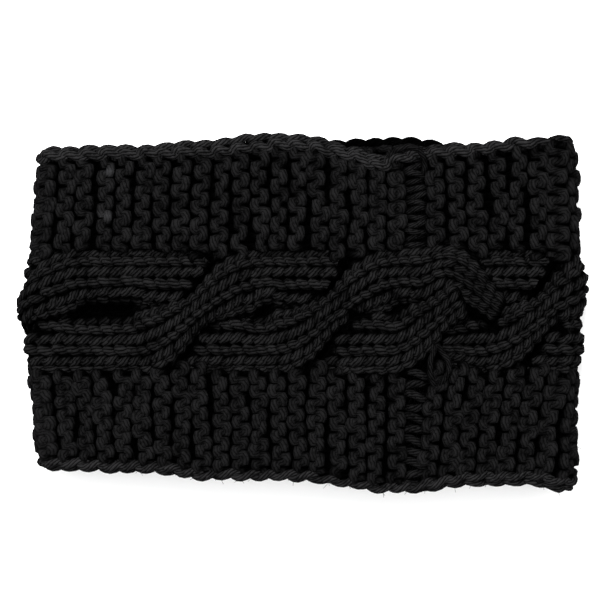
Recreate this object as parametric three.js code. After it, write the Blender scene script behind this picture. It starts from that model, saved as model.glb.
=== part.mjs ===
import * as THREE from "three";

// A knitted ear warmer headband lying flat: one loop of thick yarn, pressed into two layers.
// X runs from fold to fold, Y across the band, Z up. Lengths are in millimetres.

// Along the band
const FOLD_TO_FOLD = 225;
const RIDGE_PITCH = 7.8; // two rows of garter stitch
const OVER_LENGTH = 46; // what the strand on top needs to change sides
const UNDER_LENGTH = 28; // the same for the strand below
const HOLD_LENGTH = 30; // the stretch of a crossing where one lies fully on the other
const CLIMB_LENGTH = 9; // the stretch before and after it where they climb and dive
const SEAM_WIDTH = 9.5;
const STRAND_TIP = 14; // the stretch in which a strand tapers to its end
const TIP_FULLNESS = 0.4; // what is left of its section there

// Across the band
const STRAND_WIDTH = 21.5;
const STRAND_WAIST = 0.72; // a strand's width where it changes sides, as a share
const EYE_WIDTH = 5; // between two strands that run side by side
const NOTCH_DEPTH = 6.5; // how far a border reaches in where the strands cross
const UPPER_BORDER = 33;
const LOWER_BORDER = 37.5;
const EDGE_WIDTH = 5.6;

// Through the band
const GARTER_THICK = 6.4;
const RIDGE_RELIEF = 0.9;
const STRAND_THICK = 5.6;
const STRAND_CLIMB = 3.9; // how far the upper strand of a crossing stands out of the fabric
const EDGE_THICK = 6;
const LINK_NECK = 0.78; // an edge link's size between two links, as a share of its middle
const SEAM_THICK = 6.8;
const SEAM_SIDE = 0.7; // the seam's thickness at its sides, as a share of its middle
const RUNG_NECK = 0.8; // and between two rungs, as a share of a rung
const HOLLOW = 6; // free height between the layers where strands cross
const UPPER_DROOP = 0.8; // the upper layer's borders hang a little
const LOWER_DROOP = 2.2; // the lower layer's borders lie down on the surface
const PRESSED = 1.1; // what the surface below takes off the crossings
const CLEARANCE = 0.5;

// Places along the loop are shares of the half width, counted from the middle of the upper layer
// towards +X: 1 is the right fold, 2 the middle of the lower layer, 3 the left fold and 4 the start.
const LOOP_SHARES = 4;
const SEAM_AT = 0.4;
const LAP_CROSSING = 0.84;
const BACK_CROSSINGS = 4;
const FRONT_CROSSINGS = [3.0, 3.63, 4.11];

// Beside the seam one strand passes under and ends, and the other passes over and ends.
const STRAND_A = { start: 0.495, end: 4.55, lastAt: 4.5, lastOver: false };
const STRAND_B = { start: 0.585, end: 4.68, lastAt: 4.7, lastOver: true };
const LAST_LENGTH = 42; // what these two need to change sides
const LAST_LEAD = 17; // how much sooner they lie fully on each other

// The outer edges: "upper" and "lower" are shares of the border, positive outwards.
const EDGE_WAVES = [
  { at: 0.03, upper: 0.1, lower: -0.06 },
  { at: 0.17, upper: -0.02, lower: 0.0 },
  { at: 0.28, upper: -0.14, lower: 0.05 },
  { at: 0.37, upper: -0.03, lower: 0.05 },
  { at: 0.6, upper: 0.02, lower: -0.02 },
  { at: 0.8, upper: 0.1, lower: -0.03 },
  { at: 0.95, upper: 0.16, lower: 0.04 },
  { at: 1.05, upper: 0.14, lower: 0.04 },
  { at: 1.3, upper: 0.02, lower: -0.04 },
  { at: 1.66, upper: 0.14, lower: -0.04 },
  { at: 2.0, upper: 0.09, lower: -0.08 },
  { at: 2.5, upper: -0.04, lower: -0.15 },
  { at: 2.95, upper: -0.03, lower: -0.18 },
  { at: 3.05, upper: -0.03, lower: -0.18 },
  { at: 3.43, upper: 0.0, lower: -0.15 },
  { at: 3.64, upper: 0.05, lower: -0.08 },
  { at: 3.85, upper: 0.13, lower: -0.07 },
];

// How far each fold reaches: "across" is -1 at the lower edge and 1 at the upper edge, the rest are
// shares of the half width.
const FOLD_LINES = [
  { across: -1.0, left: -0.052, right: -0.016 },
  { across: -0.65, left: -0.036, right: -0.022 },
  { across: -0.35, left: -0.018, right: -0.006 },
  { across: 0.0, left: 0.0, right: 0.0 },
  { across: 0.35, left: -0.018, right: -0.008 },
  { across: 0.65, left: -0.036, right: -0.014 },
  { across: 1.0, left: -0.052, right: -0.018 },
];

// A strand's section: plump stitch columns outside, a flatter back inside.
const STRAND_SECTION = [
  { across: -1.0, out: 0.0 },
  { across: -0.66, out: 0.86 },
  { across: -0.3, out: 0.78 },
  { across: 0.0, out: 1.0 },
  { across: 0.3, out: 0.78 },
  { across: 0.66, out: 0.86 },
  { across: 1.0, out: 0.0 },
  { across: 0.6, out: -1.0 },
  { across: 0.0, out: -1.0 },
  { across: -0.6, out: -1.0 },
];

// A border's section from its inner to its outer edge, outside and back.
const BORDER_SECTION = [
  { across: 0.0, out: 0.6 },
  { across: 0.12, out: 1.0 },
  { across: 0.9, out: 1.0 },
  { across: 1.0, out: 0.7 },
  { across: 1.0, out: -0.7 },
  { across: 0.9, out: -1.0 },
  { across: 0.12, out: -1.0 },
  { across: 0.0, out: -0.6 },
];

// A chained edge's section
const EDGE_SECTION = [
  { across: 0.0, out: 0.5 },
  { across: 0.5, out: 1.0 },
  { across: 1.0, out: 0.4 },
  { across: 1.0, out: -0.4 },
  { across: 0.5, out: -1.0 },
  { across: 0.0, out: -0.5 },
];

const YARN_ROUGHNESS = 0.95;

// Worked out from the sizes above
const CABLE_HALF = EYE_WIDTH / 2 + STRAND_WIDTH;
const LANE = EYE_WIDTH / 2 + STRAND_WIDTH / 2;
const STRAND_DIVE = STRAND_THICK + CLEARANCE - STRAND_CLIMB;
const LAYER_HEIGHT = HOLLOW / 2 + STRAND_DIVE + STRAND_THICK / 2;
const STRAND_REACH = STRAND_CLIMB + STRAND_THICK / 2;
const FLAT_HALF = FOLD_TO_FOLD / 2 - STRAND_REACH - LAYER_HEIGHT;
const FOLD_ARC = Math.PI * LAYER_HEIGHT;
const LOOP_LENGTH = 4 * FLAT_HALF + 2 * FOLD_ARC;
const HALF_WIDTH = LOOP_LENGTH / LOOP_SHARES;
const FLOOR = LAYER_HEIGHT + STRAND_REACH - PRESSED;
const SEAM_START = SEAM_AT * HALF_WIDTH - SEAM_WIDTH / 2;
const SEAM_END = SEAM_START + SEAM_WIDTH;
const ROW = LOOP_LENGTH / (2 * Math.round(LOOP_LENGTH / RIDGE_PITCH));
const END_ROW = 0.4; // the shortest last row, as a share of a row

function smooth(t) {
  const c = Math.min(1, Math.max(0, t));
  return c * c * (3 - 2 * c);
}

// Reads a column of a table whose rows are ordered by "key", smoothly between its rows.
function read(table, key, column, value) {
  const next = table.findIndex((row) => row[key] > value);
  if (next === 0) return table[0][column];
  if (next < 0) return table[table.length - 1][column];
  const a = table[next - 1];
  const b = table[next];
  return a[column] + (b[column] - a[column]) * smooth((value - a[key]) / (b[key] - a[key]));
}

// The same for a table that runs once round the loop.
function readRound(table, column, place) {
  const share = (((place / HALF_WIDTH) % LOOP_SHARES) + LOOP_SHARES) % LOOP_SHARES;
  const last = table[table.length - 1];
  const first = table[0];
  const before = { ...last, at: last.at - LOOP_SHARES };
  const after = { ...first, at: first.at + LOOP_SHARES };
  return read([before, ...table, after], "at", column, share);
}

// The moves of a strand from side to side: "side" is the side that it goes to, 1 up and -1 down.
// In a regular crossing the strand that goes up lies on top.
function strandMoves(strand, firstSide) {
  const gap = (FRONT_CROSSINGS[0] - LAP_CROSSING) / (BACK_CROSSINGS + 1);
  const back = Array.from({ length: BACK_CROSSINGS }, (_, i) => LAP_CROSSING + gap * (i + 1));
  const moves = [LAP_CROSSING, ...back, ...FRONT_CROSSINGS].map((at, i) => {
    const side = i % 2 === 0 ? firstSide : -firstSide;
    const length = side > 0 ? OVER_LENGTH : UNDER_LENGTH;
    return { middle: at * HALF_WIDTH, length, side, over: side > 0, lead: 0 };
  });
  moves.push({
    middle: strand.lastAt * HALF_WIDTH,
    length: LAST_LENGTH,
    side: -moves[moves.length - 1].side,
    over: strand.lastOver,
    lead: LAST_LEAD,
  });
  return moves;
}

// Where a strand's middle line is at a place along the loop: across, its slope, and its height.
function strandAt(moves, place) {
  let across = -moves[0].side * LANE;
  let slope = 0;
  let level = 0;
  for (const move of moves) {
    const t = Math.min(1, Math.max(0, (place - move.middle) / move.length + 0.5));
    across += 2 * LANE * move.side * smooth(t);
    slope += (12 * LANE * move.side * t * (1 - t)) / move.length;
    const away = place < move.middle ? move.middle - move.lead - place : place - move.middle;
    const height = smooth((HOLD_LENGTH / 2 + CLIMB_LENGTH - away) / CLIMB_LENGTH);
    const signed = height * (move.over ? STRAND_CLIMB : -STRAND_DIVE);
    if (Math.abs(signed) > Math.abs(level)) level = signed;
  }
  return { across, slope, level };
}

const A = { ...STRAND_A, moves: strandMoves(STRAND_A, 1) };
const B = { ...STRAND_B, moves: strandMoves(STRAND_B, -1) };

// How much of its full section a strand has near its ends.
function strandFullness(strand, place) {
  const fromEnd = Math.min(place - strand.start * HALF_WIDTH, strand.end * HALF_WIDTH - place);
  return TIP_FULLNESS + (1 - TIP_FULLNESS) * smooth(fromEnd / STRAND_TIP);
}

// Half the width of a strand across the band, which is pulled in between the two sides of the cable
// and grows where it runs slantwise.
function strandHalf(strand, place, across, slope) {
  const waist = 1 - (1 - STRAND_WAIST) * (1 - (across / LANE) ** 2);
  return (STRAND_WIDTH / 2) * strandFullness(strand, place) * waist * Math.hypot(1, slope);
}

// How far the cable reaches towards one side at a place along the loop.
function cableReach(place, side) {
  let reach = 0;
  for (const strand of [A, B]) {
    for (const turn of [0, 1]) {
      const at = place + turn * LOOP_LENGTH;
      if (at < strand.start * HALF_WIDTH || at > strand.end * HALF_WIDTH) continue;
      const { across, slope } = strandAt(strand.moves, at);
      reach = Math.max(reach, side * across + strandHalf(strand, at, across, slope));
    }
  }
  return Math.max(reach, CABLE_HALF - NOTCH_DEPTH);
}

// The outer edge of a border, before its chain.
function borderEdge(place, side) {
  const width = side > 0 ? UPPER_BORDER : LOWER_BORDER;
  const wave = readRound(EDGE_WAVES, side > 0 ? "upper" : "lower", place);
  return CABLE_HALF + CLEARANCE + width * (1 + wave);
}

// Puts a point of the flat strip (along, across, out of the fabric) on the loop.
function onLoop(along, across, out) {
  const place = ((along % LOOP_LENGTH) + LOOP_LENGTH) % LOOP_LENGTH;
  const quarter = FLAT_HALF + FOLD_ARC;
  const r = LAYER_HEIGHT + out;
  let x = place;
  let z = r;
  if (place > LOOP_LENGTH - FLAT_HALF) {
    x = place - LOOP_LENGTH;
  } else if (place > quarter + 2 * FLAT_HALF) {
    const angle = (place - quarter - 2 * FLAT_HALF) / LAYER_HEIGHT;
    x = -FLAT_HALF - r * Math.sin(angle);
    z = -r * Math.cos(angle);
  } else if (place > quarter) {
    x = FLAT_HALF - (place - quarter);
    z = -r;
  } else if (place > FLAT_HALF) {
    const angle = (place - FLAT_HALF) / LAYER_HEIGHT;
    x = FLAT_HALF + r * Math.sin(angle);
    z = r * Math.cos(angle);
  }
  const full = CABLE_HALF + (across > 0 ? UPPER_BORDER : LOWER_BORDER);
  const reach = read(FOLD_LINES, "across", x > 0 ? "right" : "left", across / full);
  const upper = (1 + Math.max(-1, Math.min(1, z / LAYER_HEIGHT))) / 2;
  const droop = upper * UPPER_DROOP + (1 - upper) * LOWER_DROOP;
  z -= droop * smooth((Math.abs(across) - CABLE_HALF + NOTCH_DEPTH) / (2 * NOTCH_DEPTH));
  return [x * (1 + reach), across, Math.max(z, -FLOOR)];
}

// Rings on the lower half of the band run the other way round, so that their faces point out.
function facing(rings, side) {
  return side > 0 ? rings : rings.map((ring) => ring.reverse());
}

// A closed solid through rings of points, all with as many points, capped at its ends.
function loft(name, rings, color) {
  const count = rings[0].length;
  const vertices = rings.flat(2);
  const faces = [];
  for (let i = 0; i + 1 < rings.length; i++) {
    for (let j = 0; j < count; j++) {
      const k = (j + 1) % count;
      const a = i * count + j;
      const b = i * count + k;
      faces.push(a, a + count, b, b, a + count, b + count);
    }
  }
  const end = (rings.length - 1) * count;
  for (let j = 1; j + 1 < count; j++) {
    faces.push(0, j, j + 1);
    faces.push(end, end + j + 1, end + j);
  }
  const geometry = new THREE.BufferGeometry();
  geometry.setAttribute("position", new THREE.Float32BufferAttribute(vertices, 3));
  geometry.setIndex(faces);
  geometry.computeVertexNormals();
  const material = new THREE.MeshStandardMaterial({ color, roughness: YARN_ROUGHNESS, metalness: 0 });
  const mesh = new THREE.Mesh(geometry, material);
  mesh.name = name;
  return mesh;
}

// The rows of stitches between two places along the loop, which every piece shares, and its two ends.
function rowsBetween(from, to) {
  const first = Math.ceil(from / ROW + END_ROW);
  const last = Math.floor(to / ROW - END_ROW);
  const rows = Array.from({ length: last - first + 1 }, (_, i) => {
    return { place: (first + i) * ROW, odd: (first + i) % 2 !== 0 };
  });
  return [{ place: from, odd: false }, ...rows, { place: to, odd: false }];
}

function cableStrand(name, strand, color) {
  const rows = rowsBetween(strand.start * HALF_WIDTH, strand.end * HALF_WIDTH);
  const rings = rows.map(({ place }) => {
    const { across, slope, level } = strandAt(strand.moves, place);
    const half = strandHalf(strand, place, across, slope);
    const thick = (STRAND_THICK / 2) * strandFullness(strand, place);
    return STRAND_SECTION.map((p) => onLoop(place, across + p.across * half, level + p.out * thick));
  });
  return loft(name, rings, color);
}

// Garter ridges: the whole fabric bends out and in from row to row.
function garterBorder(name, side, color) {
  const rows = rowsBetween(SEAM_END + CLEARANCE, SEAM_START - CLEARANCE + LOOP_LENGTH);
  const rings = rows.map(({ place, odd }) => {
    const ridge = odd ? RIDGE_RELIEF : -RIDGE_RELIEF;
    const inner = cableReach(place, side) + CLEARANCE;
    const outer = borderEdge(place, side);
    return BORDER_SECTION.map((p) => {
      const across = inner + (outer - inner) * p.across;
      return onLoop(place, side * across, ridge + (p.out * GARTER_THICK) / 2);
    });
  });
  return loft(name, facing(rings, side), color);
}

// The chained edge: one plump link to each ridge.
function edgeChain(name, side, color) {
  const rows = rowsBetween(SEAM_END + CLEARANCE, SEAM_START - CLEARANCE + LOOP_LENGTH);
  const rings = rows.map(({ place, odd }) => {
    const link = odd ? 1 : LINK_NECK;
    const inner = borderEdge(place, side) + CLEARANCE;
    return EDGE_SECTION.map((p) => {
      const across = inner + EDGE_WIDTH * link * p.across;
      return onLoop(place, side * across, (p.out * link * EDGE_THICK) / 2);
    });
  });
  return loft(name, facing(rings, side), color);
}

// The sewn join of the two ends of a border, with its rungs of seam yarn.
function borderSeam(name, direction, color) {
  const ends = [SEAM_START, SEAM_END];
  const inner = Math.max(...ends.map((place) => cableReach(place, direction))) + CLEARANCE;
  const outer = Math.min(...ends.map((place) => borderEdge(place, direction))) + EDGE_WIDTH;
  const rungs = 2 * Math.round((outer - inner) / RIDGE_PITCH);
  const rings = Array.from({ length: rungs + 1 }, (_, i) => {
    const across = direction * (inner + ((outer - inner) * i) / rungs);
    const thick = (SEAM_THICK / 2) * (i % 2 === 0 ? RUNG_NECK : 1);
    const side = thick * SEAM_SIDE;
    const middle = (SEAM_START + SEAM_END) / 2;
    return [
      onLoop(SEAM_START, across, side),
      onLoop(SEAM_START, across, -side),
      onLoop(middle, across, -thick),
      onLoop(SEAM_END, across, -side),
      onLoop(SEAM_END, across, side),
      onLoop(middle, across, thick),
    ];
  });
  return loft(name, facing(rings, direction), color);
}

const headband = new THREE.Group();
headband.add(
  cableStrand("cable_strand_a", A, 0x202022),
  cableStrand("cable_strand_b", B, 0x222224),
  garterBorder("upper_border", 1, 0x1b1b1d),
  garterBorder("lower_border", -1, 0x1b1b1d),
  edgeChain("top_edge_chain", 1, 0x262628),
  edgeChain("bottom_edge_chain", -1, 0x262628),
  borderSeam("upper_seam", 1, 0x161617),
  borderSeam("lower_seam", -1, 0x161617)
);

// The origin is the middle of the footprint, on the surface that the band lies on.
const box = new THREE.Box3().setFromObject(headband);
const middle = box.getCenter(new THREE.Vector3());
headband.position.set(-middle.x, -middle.y, -box.min.z);

export default headband;
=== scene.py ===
"""A knitted ear warmer headband that lies flat: every stitch is a length of plied wool.

The band is one loop, pressed into two layers. Garter stitch borders run beside a rope cable of two
strands, the outer edges are chained and a ladder of sewing yarn joins the two ends of the strip.
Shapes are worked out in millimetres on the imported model's own loop, and meshes are in metres.
"""

import logging
import math
from dataclasses import dataclass
from enum import Enum
from functools import cached_property
from typing import ClassVar, NamedTuple

import bpy
import numpy as np
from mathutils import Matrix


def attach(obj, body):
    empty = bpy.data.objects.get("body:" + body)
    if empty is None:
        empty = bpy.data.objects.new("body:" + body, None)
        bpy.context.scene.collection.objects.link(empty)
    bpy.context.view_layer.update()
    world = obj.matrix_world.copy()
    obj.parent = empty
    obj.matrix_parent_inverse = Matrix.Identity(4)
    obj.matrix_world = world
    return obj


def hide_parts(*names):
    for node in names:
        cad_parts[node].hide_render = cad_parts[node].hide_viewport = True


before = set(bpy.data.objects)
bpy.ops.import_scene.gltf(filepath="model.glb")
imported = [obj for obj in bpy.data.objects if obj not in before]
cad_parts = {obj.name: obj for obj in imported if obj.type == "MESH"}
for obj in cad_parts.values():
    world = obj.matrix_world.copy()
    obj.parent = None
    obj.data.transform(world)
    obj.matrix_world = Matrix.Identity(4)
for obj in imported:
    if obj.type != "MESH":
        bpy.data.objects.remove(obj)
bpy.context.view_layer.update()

LOG = logging.getLogger("headband")
MM = 0.001
BODY = "root"

Array = np.ndarray


class Side(Enum):
    """The half of the band that a piece belongs to."""

    UPPER = 1
    LOWER = -1


class LoopRow(NamedTuple):
    """A table's row at one place round the loop, with a value for each side of the band."""

    at: float
    upper: float
    lower: float


class FoldLine(NamedTuple):
    """How far both folds reach at one height of the band, as shares of the half width."""

    across: float
    left: float
    right: float


class LoopPoint(NamedTuple):
    """A point of a loose loop: its place in the photo in pixels and its height out of the fabric in mm."""

    x: float
    y: float
    out: float


class PaleSpot(NamedTuple):
    """A paler stitch of the upper border and how far it reaches, in mm."""

    x: float
    y: float
    reach: float


# The outer edges: shares of the borders, positive outwards.
EDGE_WAVES = (
    LoopRow(0.03, 0.1, -0.06),
    LoopRow(0.17, -0.02, 0.0),
    LoopRow(0.28, -0.14, 0.05),
    LoopRow(0.37, -0.03, 0.05),
    LoopRow(0.6, 0.02, -0.02),
    LoopRow(0.8, 0.1, -0.03),
    LoopRow(0.95, 0.16, 0.04),
    LoopRow(1.05, 0.14, 0.04),
    LoopRow(1.3, 0.02, -0.04),
    LoopRow(1.66, 0.14, -0.04),
    LoopRow(2.0, 0.09, -0.08),
    LoopRow(2.5, -0.04, -0.15),
    LoopRow(2.95, -0.03, -0.18),
    LoopRow(3.05, -0.03, -0.18),
    LoopRow(3.43, 0.0, -0.15),
    LoopRow(3.64, 0.05, -0.08),
    LoopRow(3.85, 0.13, -0.07),
)

FOLD_LINES = (
    FoldLine(-1.0, -0.052, -0.016),
    FoldLine(-0.65, -0.036, -0.022),
    FoldLine(-0.35, -0.018, -0.006),
    FoldLine(0.0, 0.0, 0.0),
    FoldLine(0.35, -0.018, -0.008),
    FoldLine(0.65, -0.036, -0.014),
    FoldLine(1.0, -0.052, -0.018),
)

# How far the garter ridges lean, in mm from cable to edge.
RIDGE_LEANS = (
    LoopRow(0.0, 0.0, 0.0),
    LoopRow(0.3, 0.0, 0.0),
    LoopRow(0.55, 0.0, -3.5),
    LoopRow(0.8, 1.0, -4.5),
    LoopRow(1.0, 0.0, -3.0),
    LoopRow(1.3, 0.0, 0.0),
    LoopRow(3.0, 0.0, 0.0),
)

# How far the edge chains turn to the front, in radians.
CHAIN_TURNS = (
    LoopRow(0.0, 0.9, 0.1),
    LoopRow(0.13, 0.5, -0.5),
    LoopRow(0.3, 0.6, -0.2),
    LoopRow(0.46, 0.4, 0.5),
    LoopRow(0.65, 0.3, 0.9),
    LoopRow(0.76, 0.2, 1.0),
    LoopRow(0.86, -0.9, 1.0),
    LoopRow(1.0, -1.1, 0.9),
    LoopRow(1.3, 0.2, 0.4),
    LoopRow(2.8, 0.4, 0.4),
    LoopRow(3.4, 0.5, 0.4),
    LoopRow(3.55, 0.9, 0.3),
    LoopRow(3.8, 1.0, 0.2),
)

# The curl of yarn at the top of the seam, and the loose loop at the cable's end.
CURL = (
    LoopPoint(388, 161, 2.0),
    LoopPoint(396, 153, 3.3),
    LoopPoint(408, 149, 4.0),
    LoopPoint(418, 152, 4.1),
    LoopPoint(424, 161, 3.8),
    LoopPoint(425, 171, 2.8),
    LoopPoint(421, 180, 0.5),
)

LOOSE_LEFT = (
    LoopPoint(434, 341, 1.5),
    LoopPoint(432, 349, 4.0),
    LoopPoint(428, 359, 4.9),
    LoopPoint(428, 371, 4.5),
    LoopPoint(432, 382, 2.8),
    LoopPoint(437, 390, 0.5),
)

LOOSE_RIGHT = (
    LoopPoint(434, 342, 1.5),
    LoopPoint(439, 350, 4.2),
    LoopPoint(446, 359, 4.7),
    LoopPoint(447, 370, 4.3),
    LoopPoint(441, 380, 3.2),
    LoopPoint(435, 388, 0.5),
)

PALE_SPOTS = (
    PaleSpot(-74.6, 54.4, 2.1),
    PaleSpot(-75.2, 48.8, 2.1),
    PaleSpot(-76.0, 37.0, 2.3),
    PaleSpot(-74.0, 33.4, 2.0),
)


def smooth(t: Array) -> Array:
    """Eases from 0 to 1, and holds positions outside that at the ends."""
    c = np.clip(t, 0.0, 1.0)
    return c * c * (3.0 - 2.0 * c)


def read(keys: Array, values: Array, at: Array) -> Array:
    """Reads a table smoothly between its rows.

    Args:
        keys: The rows' places, in order.
        values: The rows' values.
        at: Where to read.

    Returns:
        The values there.
    """
    at = np.asarray(at, float)
    low = np.clip(np.searchsorted(keys, at, side="right") - 1, 0, len(keys) - 2)
    share = smooth((at - keys[low]) / (keys[low + 1] - keys[low]))
    return values[low] + (values[low + 1] - values[low]) * share


@dataclass(frozen=True)
class Move:
    """A strand's move from one side of the cable to the other.

    A hidden move lies under the other strand, and each of its ribs makes it at its own place.
    """

    middle: float
    length: float
    side: int
    height: float
    lead: float
    hidden: bool
    pull: float


class StrandPoint(NamedTuple):
    """Where a rib of a strand is: how far across the band, its slope and its heights.

    The level is that of the strand out of the fabric's middle, and sunk is what the rib lies below it.
    """

    across: Array
    slope: Array
    level: Array
    sunk: Array


class YarnLine(NamedTuple):
    """One length of yarn.

    Its points, radius and height out of its own fabric are in millimetres, with the direction out
    of the fabric and how pale the yarn is. The height and the direction set only its painted shade.
    """

    points: Array
    radius: Array
    height: Array
    outward: Array
    pale: Array


@dataclass(frozen=True)
class StrandPlan:
    """Where a strand starts and ends, as shares of the half width, and how high its end lies, in mm."""

    start: float
    end: float
    last_at: float
    last_height: float
    first_side: int


@dataclass(frozen=True)
class BandShape:
    """The flattened loop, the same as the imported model's, in millimetres."""

    # Along the band
    fold_to_fold: float = 225.0
    ridge_pitch: float = 7.8
    over_length: float = 46.0
    under_length: float = 4.0
    rib_delay: float = 0.65
    sink_reach: float = 4.5
    sink_climb: float = 2.0
    sink_depth: float = 3.6
    hidden_hold: float = 6.0
    hidden_drop: float = 0.8
    pull: float = 4.5
    fold_pull: float = 11.0
    pull_reach: float = 20.0
    pull_turn: float = 2.0
    fold_early: float = -1.0
    fold_reach: float = 17.0
    fold_fade: float = 8.0
    eye_margin: float = 18.5
    eye_climb: float = 8.0
    last_eye: float = 4.6
    hold_length: float = 30.0
    climb_length: float = 9.0
    seam_width: float = 9.5
    strand_tip: float = 14.0
    tip_fullness: float = 0.7
    # Across the band
    strand_width: float = 21.5
    eye_width: float = 5.0
    notch_depth: float = 6.5
    upper_border: float = 33.0
    lower_border: float = 37.5
    edge_width: float = 5.6
    # Through the band
    strand_thick: float = 5.6
    strand_climb: float = 3.9
    hollow: float = 6.0
    upper_droop: float = 0.8
    lower_droop: float = 2.2
    pressed: float = 1.1
    clearance: float = 0.5
    # Places, as shares of the half width, and what the last moves need
    seam_at: float = 0.4
    lap_crossing: float = 0.84
    back_crossings: int = 4
    front_crossings: tuple[float, ...] = (3.0, 3.63, 4.11)
    last_length: float = 42.0
    last_lead: float = 17.0
    middle: tuple[float, float] = (0.26, 0.55)

    @cached_property
    def cable_half(self) -> float:
        """Half the width of the cable."""
        return self.eye_width / 2 + self.strand_width

    @cached_property
    def lane(self) -> float:
        """The middle line of a strand that runs straight, from the middle of the cable."""
        return self.eye_width / 2 + self.strand_width / 2

    @cached_property
    def strand_dive(self) -> float:
        """How far the lower strand of a crossing lies below the fabric's middle."""
        return self.strand_thick + self.clearance - self.strand_climb

    @cached_property
    def layer_height(self) -> float:
        """The middle of a layer above the middle of the loop."""
        return self.hollow / 2 + self.strand_dive + self.strand_thick / 2

    @cached_property
    def strand_reach(self) -> float:
        """How far a strand on top stands out of the fabric's middle."""
        return self.strand_climb + self.strand_thick / 2

    @cached_property
    def flat_half(self) -> float:
        """The flat part of a layer, from its middle to where a fold starts."""
        return self.fold_to_fold / 2 - self.strand_reach - self.layer_height

    @cached_property
    def fold_arc(self) -> float:
        """The length of a fold round its bend."""
        return math.pi * self.layer_height

    @cached_property
    def length(self) -> float:
        """The length of the loop."""
        return 4 * self.flat_half + 2 * self.fold_arc

    @cached_property
    def half_width(self) -> float:
        """A quarter of the loop, which the shares of places count in."""
        return self.length / 4

    @cached_property
    def floor(self) -> float:
        """The surface that the band lies on, below the middle of the loop."""
        return self.layer_height + self.strand_reach - self.pressed

    @cached_property
    def seam_start(self) -> float:
        """The seam's left side."""
        return self.seam_at * self.half_width - self.seam_width / 2

    @cached_property
    def seam_end(self) -> float:
        """The seam's right side."""
        return self.seam_start + self.seam_width

    @cached_property
    def row(self) -> float:
        """The length of one row of garter stitch along the loop."""
        return self.length / (2 * round(self.length / self.ridge_pitch))

    @cached_property
    def crossings(self) -> list[float]:
        """Lists the places where the strands cross.

        Returns:
            Shares of the half width, in order along the loop.
        """
        gap = (self.front_crossings[0] - self.lap_crossing) / (self.back_crossings + 1)
        back = [self.lap_crossing + gap * (i + 1) for i in range(self.back_crossings)]
        return [self.lap_crossing, *back, *self.front_crossings]

    def border(self, side: Side) -> float:
        """The width of a border."""
        return self.upper_border if side is Side.UPPER else self.lower_border

    def round_table(self, table: tuple[LoopRow, ...], side: Side, place: Array) -> Array:
        """Reads a table that runs once round the loop.

        Args:
            table: Rows with a place, a value for the upper and one for the lower side.
            side: Which of the two values to read.
            place: Places along the loop.

        Returns:
            The values there.
        """
        keys = np.array([row.at for row in table])
        values = np.array([row.upper if side is Side.UPPER else row.lower for row in table])
        keys = np.concatenate([[keys[-1] - 4], keys, [keys[0] + 4]])
        values = np.concatenate([[values[-1]], values, [values[0]]])
        return read(keys, values, np.mod(np.asarray(place) / self.half_width, 4.0))

    def border_edge(self, place: Array, side: Side) -> Array:
        """Gives how far a border's outer edge, before its chain, is from the middle of the cable."""
        wave = self.round_table(EDGE_WAVES, side, place)
        return self.cable_half + self.clearance + self.border(side) * (1 + wave)

    def moves(self, plan: StrandPlan) -> list[Move]:
        """Lists a strand's moves. The strand that goes up lies on top.

        Args:
            plan: The strand's start, end and last move.

        Returns:
            The moves, in order along the loop.
        """
        first = self.front_crossings[0]
        moves = []
        for i, at in enumerate(self.crossings):
            side = plan.first_side if i % 2 == 0 else -plan.first_side
            length = self.over_length if side > 0 else self.under_length
            height = self.strand_climb if side > 0 else -self.hidden_drop
            early = self.fold_early if side < 0 and at == first else 0.0
            pull = self.fold_pull if at == first else self.pull
            middle = at * self.half_width - early
            moves.append(Move(middle, length, side, height, 0.0, side < 0, pull))
        middle = plan.last_at * self.half_width
        side = -moves[-1].side
        last = Move(middle, self.last_length, side, plan.last_height, self.last_lead, False, 0.0)
        return [*moves, last]

    def strand_at(self, moves: list[Move], place: Array, rib: Array) -> StrandPoint:
        """Follows one rib of a strand, less its distance from the strand's middle.

        Args:
            moves: The strand's moves.
            place: Places along the loop.
            rib: The rib's distance from the strand's middle.

        Returns:
            The rib's place there.
        """
        place = np.asarray(place, float)
        across = np.full_like(place, -moves[0].side * self.lane)
        slope = np.zeros_like(place)
        level = np.zeros_like(place)
        sunk = np.zeros_like(place)
        for move in moves:
            at = place - self.rib_delay * rib if move.hidden else place
            t = np.clip((at - move.middle) / move.length + 0.5, 0, 1)
            across += 2 * self.lane * move.side * smooth(t)
            if not move.hidden:
                slope += 12 * self.lane * move.side * t * (1 - t) / move.length
            away = np.where(at < move.middle, move.middle - move.lead - at, at - move.middle)
            hold = self.hidden_hold if move.hidden else self.hold_length
            signed = move.height * smooth((hold / 2 + self.climb_length - away) / self.climb_length)
            level = np.where(np.abs(signed) > np.abs(level), signed, level)
            if move.hidden:
                beside = (self.sink_reach - np.abs(at - move.middle)) / self.sink_climb
                sunk = np.maximum(sunk, self.sink_depth * smooth(beside))
        return StrandPoint(across, slope, level, sunk)

    def pulled(self, moves: list[Move], place: Array) -> Array:
        """Gives how far a strand's ends are pulled together under the other strand.

        Args:
            moves: The strand's moves.
            place: Places along the loop.

        Returns:
            Shifts along the loop in millimetres.
        """
        shift = np.zeros_like(place)
        for move in moves:
            if move.hidden:
                away = place - move.middle
                shift -= move.pull * np.tanh(away / self.pull_turn) * np.exp(-np.abs(away) / self.pull_reach)
        return shift

    def fold(self, place: Array) -> Array:
        """Gives how near a place is to a fold, from 1 in its middle to 0 away from both folds."""
        away = np.abs(np.mod(place, 2 * self.half_width) - self.half_width)
        return smooth((self.fold_reach - away) / self.fold_fade)

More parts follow.
